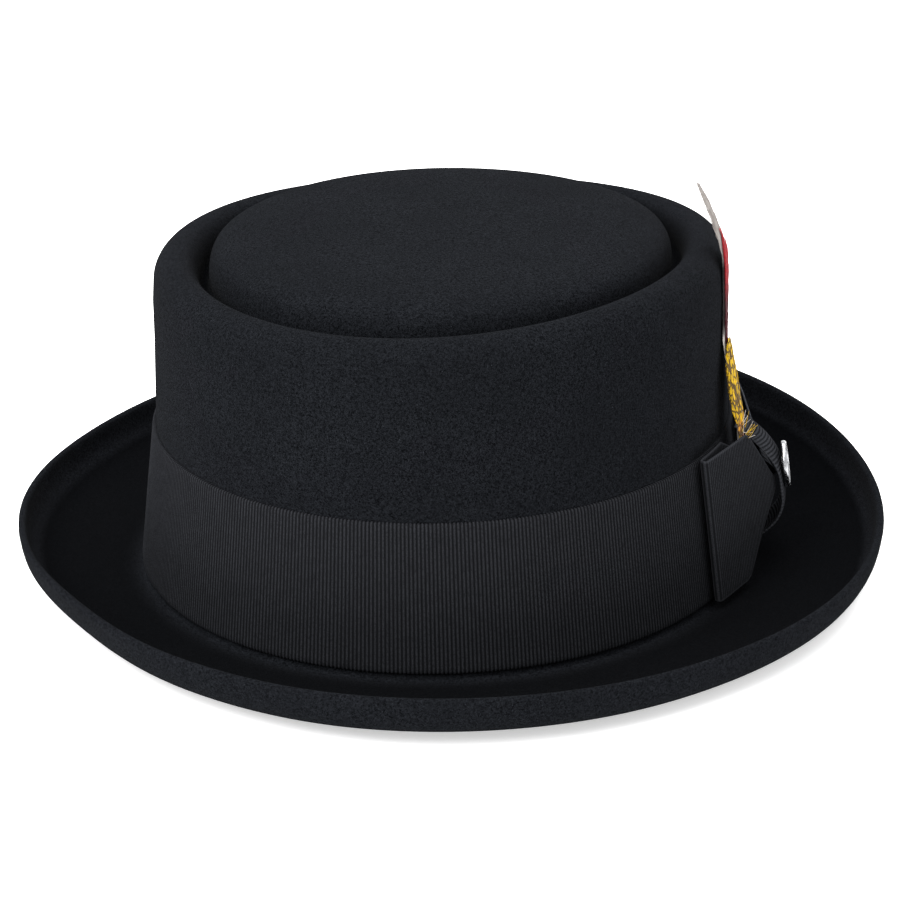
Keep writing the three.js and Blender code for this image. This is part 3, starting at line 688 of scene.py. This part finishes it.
class HAT_OT_bow(bpy.types.Operator):
    """Make the bow: two flat loops of ribbon and the knot over them"""

    bl_idname = "hat.bow"
    bl_label = "Bow"
    place, start, stand, fold_stand, fold_round, foot = 8.0, 6.0, 10.5, 3.5, 0.95, 0.9
    front_reach, rear_reach, rear_lean, bulge, least_stand = 42.2, 46.5, 0.3, 0.5, 1.36
    knot_width, knot_waist, knot_stand, knot_crown, thickness = 16.0, 0.06, 12.2, 2.2, 0.42
    loop_edge, knot_edge = 0.03, 0.06

    def loop(self, form, side, reach, lean):
        """A path that runs straight from the knot to the fold, round a half circle, and back along the band. Across
        the ribbon the height goes evenly from foot to top, and the ribs follow the length of the path. Near the knot
        the top edge leans in, by lean times the square of the share of the width."""
        knot = self.place + side * self.start
        fold = self.place + side * (self.start + reach - self.fold_round)
        heights = np.array([0, 0.01, 0.03, *np.linspace(0.08, 0.92, 18), 0.97, 0.99, 1])
        share = np.linspace(0, 1, int(reach / form.pitch) * RIB_STEPS)
        outer, inner = np.array(LOOP_OUTER), np.array(LOOP_INNER)[::-1]

        def level(foot, top):
            """Heights above the table from the shares of the foot and the top at every place"""
            rise = foot[:, None] + (top - foot)[:, None] * heights[None, :]
            return form.band_foot + self.foot + form.ribbon * rise

        height = level(np.interp(share, outer[:, 0], outer[:, 1]), np.interp(share, outer[:, 0], outer[:, 2]))
        far, near = form.off_band(fold, self.fold_stand, height), form.off_band(knot, self.stand, height)
        tilt = lean * (1 - share)[:, None] * heights[None, :] ** 2
        bow = np.sin(np.pi * share)[:, None] * self.bulge - tilt * self.stand
        first = near + (far - near) * share[:, None, None] + form.straight_out(self.place) * bow[..., None]
        angle = np.linspace(0, np.pi, 4 * RIB_STEPS)[1:-1]
        full = level(np.zeros_like(angle), np.ones_like(angle))
        middle = form.off_band((fold + side * self.fold_round * np.sin(angle))[:, None],
                               (self.fold_stand - self.fold_round * (1 - np.cos(angle)))[:, None], full)
        back = share[::-1]
        height = level(np.interp(back, inner[:, 0], inner[:, 1]), np.interp(back, inner[:, 0], inner[:, 2]))
        off = np.interp(back, inner[:, 0], inner[:, 3])[:, None] * (1 - lean * (1 - back)[:, None] * heights ** 2)
        last = form.off_band((knot + (fold - knot) * back)[:, None], np.maximum(self.stand * off, self.least_stand), height)
        points = np.concatenate([first, middle, last])
        count = ribs_passed(points[:, len(heights) // 2], form.pitch)
        edge = np.minimum(1, np.minimum(heights, 1 - heights) / self.loop_edge)
        relief = BOW_RIB * ribs(count)[:, None] * edge[None, :]
        return points, relief, np.stack(np.broadcast_arrays(count[:, None], heights), -1)

    def knot(self, form):
        """A path down over the loops, with its middle fuller than its edges by 1 - across ** 2, and ribs along it."""
        path = through(np.array(KNOT_SECTION) * np.array([form.ribbon, self.knot_stand, self.knot_crown]), 22)
        across = np.linspace(-1, 1, 33)
        proud = path[:, 2][:, None] * (1 - across ** 2)[None, :]
        height = form.band_foot + self.foot + path[:, 0][:, None] + 0 * proud
        narrow = 1 - self.knot_waist * np.sin(np.pi * np.linspace(0, 1, len(path)))[:, None]
        points = form.off_band(self.place + across[None, :] * self.knot_width / 2 * narrow,
                               path[:, 1][:, None] + proud, height)
        count = ribs_passed(points[:, len(across) // 2], form.pitch)
        edge = np.minimum(1, (1 - np.abs(across)) / self.knot_edge)
        relief = BOW_RIB * ribs(count)[:, None] * edge[None, :]
        return points, relief, np.stack(np.broadcast_arrays(count[:, None], across / 2 + 0.5), -1)

    def execute(self, context):
        """Both loops and the knot as sheets of ribbon, each with the ribbon's colour lightened by its own factor as
        painted light
        """
        form = Form(context.scene.hat_sizes)
        colour = context.scene.hat_colours.ribbon
        # Painted light: the factor after each part name lightens the ribbon's colour to how brightly lit that piece
        # looks
        pieces = (("bow_loop_front", "bow_front_loop", 1.1, self.loop(form, -1, self.front_reach, 0.0)),
                  ("bow_loop_rear", "bow_rear_loop", 2.4, self.loop(form, 1, self.rear_reach, self.rear_lean)),
                  ("bow_centre_knot", "bow_knot", 1.7, self.knot(form)))
        for name, node, painted_lightness, (grid, relief, uv) in pieces:
            points, faces = slab(grid, self.thickness, relief)
            # 0.22 is the strength of the painted highlight along the ribbon's edges
            finish = ribbon_finish(name + "_ribbon", shade(colour, painted_lightness), 0.55, 0.22)
            make_piece(name, points, faces, finish, [node], np.concatenate([uv.reshape(-1, 2)] * 2))
        return {"FINISHED"}


class HAT_OT_feathers(bpy.types.Operator):
    """Make the feathers: a shaft each, and barbs that sweep up from both of its sides"""

    bl_idname = "hat.feathers"
    bl_label = "Feathers"
    place, sweep, length, tuck, lean, width = -10.5, 9.0, 75.5, 7.1, 14.0, 12.0
    layer_gap, first_gap, barb_pitch, barb_wide, barb_thick, shaft_radius = 0.8, 1.0, 0.42, 0.62, 0.09, 0.42
    shaft_steps, shaft_sides, shaft_end = 40, 8, 0.97

    def on_curve(self, form, rise, across, out):
        """A point on the feathers' shared curve: rise along it in mm, across it, and out from the crown."""
        foot = form.band_top - self.tuck
        table = through(np.array(FEATHER_CURVE), 8)
        stand = self.lean * np.interp(rise / (form.rim - foot), table[:, 0], table[:, 1])
        share = np.maximum(rise, 0) / self.length
        turn = form.turn_at(self.place + self.sweep * share ** 1.5 + across)
        return form.beside(turn, -form.wall_lean + stand + out, foot + rise)

    def tubes(self, centres, wide, thick):
        """Closed flat tubes from rows of (rise, across, out): four corners at each place, half the width up and
        down and half the thickness out and in, with the ends closed. Gives corners and faces."""
        many, places = centres.shape[:2]
        corners = []
        for up, off in ((1, 1), (-1, 1), (-1, -1), (1, -1)):
            moved = centres.copy()
            moved[..., 0] += up * wide / 2
            moved[..., 2] += off * thick / 2
            corners.append(moved)
        points = np.stack(corners, 2)
        last = places * 4 - 1
        ends = [[0, 1, 2, 3], [last, last - 1, last - 2, last - 3]]
        one = np.concatenate([quads_of_grid(places, 4, round_columns=True), ends])
        faces = (one[None] + np.arange(many)[:, None, None] * places * 4).reshape(-1, 4)
        return points.reshape(-1, 3), faces

    def feather(self, form, layer, length, width, widest, seed, power, quill):
        """Barbs at equal steps up the shaft. Along a barb, share w: across = side * half width * w, rise = root +
        half width * (0.7 w + 0.55 w ** 2), and it cups towards the crown by w ** 2, less on the front side. The half
        width is a power of a sine that is 1 at the widest place. The shaft is a thin tube on the feathers' curve."""
        chance = np.random.default_rng(seed)
        whole = self.length * length
        base = self.first_gap + layer * self.layer_gap
        count = int(whole * (1 - quill) / self.barb_pitch)
        root = np.linspace(quill, 0.985, count)
        place = (root - quill) / (1 - quill)
        bulge = np.where(place < widest, place / widest, (1 - place) / (1 - widest))
        half = 0.6 + self.width / 2 * width * np.sin(np.clip(bulge, 0, 1) * np.pi / 2) ** power
        along = np.linspace(0, 1, 9)[None, :]
        points, faces, first = [], [], 0
        for side in (-1, 1):
            reach = half * (0.94 + 0.08 * chance.random(count)) * (1 - 0.12 * (chance.random(count) < 0.08))
            lift = chance.normal(0, 0.07, count)
            sweep = (reach * (1 - 0.7 * place ** 6))[:, None]
            rise = root[:, None] * whole + sweep * (0.7 * along + 0.55 * along ** 2)
            across = side * (0.1 + reach[:, None] * along)
            cup = reach[:, None] / 6 * (1.1 if side > 0 else 0.72)
            out = base + lift[:, None] * along - 0.35 * along ** 2 * cup
            wide = self.barb_wide * (1 - 0.75 * along ** 3) + 0 * rise
            made, quads = self.tubes(np.stack([rise, across, out], -1), wide, self.barb_thick)
            points.append(made)
            faces.append((quads[:, ::-1] if side > 0 else quads) + first)
            first += len(made)
        corners = np.concatenate(points)
        placed = self.on_curve(form, corners[:, 0], corners[:, 1], corners[:, 2])
        uv = np.stack([corners[:, 0] / whole, 0.5 + corners[:, 1] / 20], -1)
        share = np.linspace(0, 1, self.shaft_steps)
        path = self.on_curve(form, self.shaft_end * share * whole, 0, base)
        shaft, more = tubes_along(path[None], self.shaft_radius * (1 - 0.75 * share)[None], self.shaft_sides)
        up = np.repeat(self.shaft_end * share, self.shaft_sides)
        every = [*np.concatenate(faces), *(face + first for face in more)]
        return np.concatenate([placed, shaft]), every, np.concatenate([uv, np.stack([up, np.full(len(up), 0.5)], -1)])

    def strands(self, form):
        """Loose downy strands at the foot of each feather: thin round tubes along cubic arcs, start + reach * w +
        curl * w ** 2 * (1 - w / 2), that spring out over the top of the bow."""
        chance = np.random.default_rng(12)
        along = np.linspace(0, 1, 14)[None, :, None]
        made = {}
        for slot, (many, out, _) in TUFTS.items():
            start = np.stack([chance.uniform(4, 9, many), chance.uniform(-1.2, 1.2, many),
                              out + chance.uniform(0, 1.2, many)], -1)[:, None, :]
            reach = np.stack([chance.uniform(-1, 4.5, many), chance.uniform(-2.5, 5, many),
                              chance.uniform(0.3, 3.4, many)], -1)[:, None, :]
            curl = chance.normal(0, 1.6, (many, 1, 3))
            centres = start + reach * along + curl * along ** 2 * (1 - 0.5 * along)
            centres[..., 0] = np.maximum(centres[..., 0], 4)
            centres[..., 2] = np.maximum(centres[..., 2], out - 1)
            paths = self.on_curve(form, centres[..., 0], centres[..., 1], centres[..., 2])
            made[slot] = tubes_along(paths, 0.08 * (1 - 0.5 * along[..., 0]), 5)
        return made

    def execute(self, context):
        """Each feather with its loose strands as one piece"""
        form = Form(context.scene.hat_sizes)
        colours = context.scene.hat_colours
        strands = self.strands(form)
        for name, slot, finish in (("feather_long_grey", "feather_grey", grey_vane(colours.grey)),
                                   ("feather_middle_red", "feather_red", red_vane(colours.red)),
                                   ("feather_short_yellow", "feather_yellow", yellow_vane(colours.yellow))):
            points, faces, uv = self.feather(form, **FEATHERS[slot])
            loose, more = strands[slot]
            faces = [*faces, *(face + len(points) for face in more)]
            uv = np.concatenate([uv, np.full((len(loose), 2), (TUFTS[slot][2], 0.5))])
            make_piece(name, np.concatenate([points, loose]), faces, finish, [slot], uv)
        return {"FINISHED"}


class HAT_OT_pin(bpy.types.Operator):
    """Make the pin: a round disc with a raised rim and a low plain dome, on the middle of the knot"""

    bl_idname = "hat.pin"
    bl_label = "Pin"
    level, turns = 0.595, 96

    def execute(self, context):
        """A turned section round the direction straight out from the knot, closed at two poles"""
        form = Form(context.scene.hat_sizes)
        radius = context.scene.hat_sizes.pin_diameter / MM / 2
        section = through(np.array([
            (0, 0), (2, 0), (2.05, 0.3), (radius - 0.6, 0.3), (radius - 0.1, 0.5), (radius, 0.9),
            (radius - 0.12, 1.5), (radius - 0.5, 1.78), (radius - 0.95, 1.72), (radius - 1.25, 1.4),
            (radius - 1.6, 1.3), (radius * 0.6, 1.5), (radius * 0.35, 1.62), (0, 1.68)]), 4)
        ring = np.arange(self.turns)
        angle = (ring / self.turns * FULL_TURN)[:, None]
        bow = HAT_OT_bow
        stand = bow.knot_stand + bow.knot_crown * 0.1 + form.band_thickness / 2
        level = form.band_foot + bow.foot + form.ribbon * self.level
        seat = form.off_band(bow.place, stand, level)
        along = form.off_band(bow.place + 1, stand, level) - seat
        upward = form.off_band(bow.place, stand, level + 1) - seat
        facing = np.cross(along, upward)
        facing, along = facing / np.linalg.norm(facing), along / np.linalg.norm(along)
        upward = np.cross(facing, along)
        inner = section[1:-1]
        spread = np.cos(angle) * along + np.sin(angle) * upward
        rings = seat + inner[:, 0][:, None, None] * spread + inner[:, 1][:, None, None] * facing
        points = np.concatenate([rings.reshape(-1, 3), [seat, seat + facing * section[-1, 1]]])
        grid = quads_of_grid(len(inner), self.turns, round_columns=True)[:, ::-1]
        last = (len(inner) - 1) * self.turns
        caps = [*fan(len(points) - 2, ring, other_way=True), *fan(len(points) - 1, last + ring)]
        make_piece("round_pin", points, [*grid, *caps], silver_finish(context.scene.hat_colours.pin), ["pin"])
        return {"FINISHED"}


class HAT_OT_studio(bpy.types.Operator):
    """Make the studio: a pale floor, soft lights and the camera"""

    bl_idname = "hat.studio"
    bl_label = "Studio"
    azimuth, elevation, distance = np.radians(10.0), np.radians(18.52), 0.9
    focal, frame_width, principal = 3092.69, 900.0, (444.0, 396.4)
    target, roll = (-0.0009, 0.0, 0.0469), np.radians(0.1)

    floor_reach, floor_level, surround = 6.0, -0.0001, 1.05
    lamps = (("key", (-0.8, -1.0, 1.2), (0, 0, 0.05), 1.1, 30), ("top", (-0.1, 0.35, 1.6), (0, 0, 0), 2.6, 62))

    def light(self, name, place, aim, size, power):
        """A square lamp at a place, turned to a point, with its side in metres and its power in watts"""
        data = bpy.data.lights.new(name, "AREA")
        data.shape, data.size, data.size_y = "RECTANGLE", size, size
        data.energy = power
        lamp = bpy.data.objects.new(name, data)
        lamp.location = place
        lamp.rotation_euler = (Vector(aim) - Vector(place)).to_track_quat("-Z", "Y").to_euler()
        bpy.context.scene.collection.objects.link(lamp)

    def floor(self, scene):
        """A flat square floor, just under the hat"""
        mesh = bpy.data.meshes.new("floor")
        reach = self.floor_reach
        corners = [(x, y, self.floor_level) for x, y in ((-reach, -reach), (reach, -reach), (reach, reach),
                                                         (-reach, reach))]
        mesh.from_pydata(corners, [], [(0, 1, 2, 3)])
        mesh.materials.append(light_table(scene.hat_colours.floor))
        floor = bpy.data.objects.new("floor", mesh)
        scene.collection.objects.link(floor)

    def camera(self, scene, middle):
        """A camera that looks at the middle of the hat from a direction and a distance. Its aim is moved by the
        principal point's way from the frame's centre over the focal length, both in pixels."""
        flat = np.cos(self.elevation)
        back = Vector((np.sin(self.azimuth) * flat, -np.cos(self.azimuth) * flat, np.sin(self.elevation)))
        right = Vector((np.cos(self.azimuth), np.sin(self.azimuth), 0))
        up = back.cross(right)
        centre = self.frame_width / 2
        across, down = ((centre - value) / self.focal for value in self.principal)
        ahead = (-back + right * across - up * down).normalized()
        data = bpy.data.cameras.new("camera")
        data.sensor_width = 36.0
        data.lens = self.focal / self.frame_width * data.sensor_width
        camera = bpy.data.objects.new("camera", data)
        side = ahead.cross(Vector((0, 0, 1))).normalized()
        top = side.cross(ahead)
        turn = Matrix((side, top, -ahead)).transposed().to_4x4() @ Matrix.Rotation(self.roll, 4, "Z")
        camera.matrix_world = Matrix.Translation(middle + back * self.distance) @ turn
        scene.collection.objects.link(camera)
        scene.camera = camera

    def execute(self, context):
        """The floor, an even white surround, the lamps and the camera"""
        scene = context.scene
        form = Form(scene.hat_sizes)
        self.floor(scene)
        world = bpy.data.worlds.new("studio")
        world.use_nodes = True
        world.node_tree.nodes["Background"].inputs["Color"].default_value = (1, 1, 1, 1)
        world.node_tree.nodes["Background"].inputs["Strength"].default_value = self.surround
        scene.world = world
        scene.view_settings.view_transform = "Standard"
        for lamp in self.lamps:
            self.light(*lamp)
        self.camera(scene, Vector((form.middle[0] * MM, form.middle[1] * MM, 0)) + Vector(self.target))
        return {"FINISHED"}


OPERATORS = (HAT_OT_felt, HAT_OT_band, HAT_OT_bow, HAT_OT_feathers, HAT_OT_pin, HAT_OT_studio)


class HAT_PT_panel(bpy.types.Panel):
    """The hat's pieces, sizes and colours"""

    bl_idname = "HAT_PT_panel"
    bl_label = "Porkpie hat"
    bl_space_type = "VIEW_3D"
    bl_region_type = "UI"
    bl_category = "Hat"

    def draw(self, context):
        """Every size and colour, and a button for each operator"""
        for group in (context.scene.hat_sizes, context.scene.hat_colours):
            for key in group.__annotations__:
                self.layout.prop(group, key)
        for operator in OPERATORS:
            self.layout.operator(operator.bl_idname)


CLASSES = (HatSizes, HatColours, *OPERATORS, HAT_PT_panel)


def register():
    """Add the classes, and the sizes and colours to the scene"""
    for kind in CLASSES:
        bpy.utils.register_class(kind)
    bpy.types.Scene.hat_sizes = bpy.props.PointerProperty(type=HatSizes)
    bpy.types.Scene.hat_colours = bpy.props.PointerProperty(type=HatColours)


def unregister():
    """Take the sizes, colours and classes away again"""
    del bpy.types.Scene.hat_sizes
    del bpy.types.Scene.hat_colours
    for kind in reversed(CLASSES):
        bpy.utils.unregister_class(kind)


def main():
    """Make the whole hat in its studio"""
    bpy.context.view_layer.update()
    register()
    bpy.ops.hat.felt()
    bpy.ops.hat.band()
    bpy.ops.hat.bow()
    bpy.ops.hat.feathers()
    bpy.ops.hat.pin()
    bpy.ops.hat.studio()


if __name__ == "__main__":
    main()
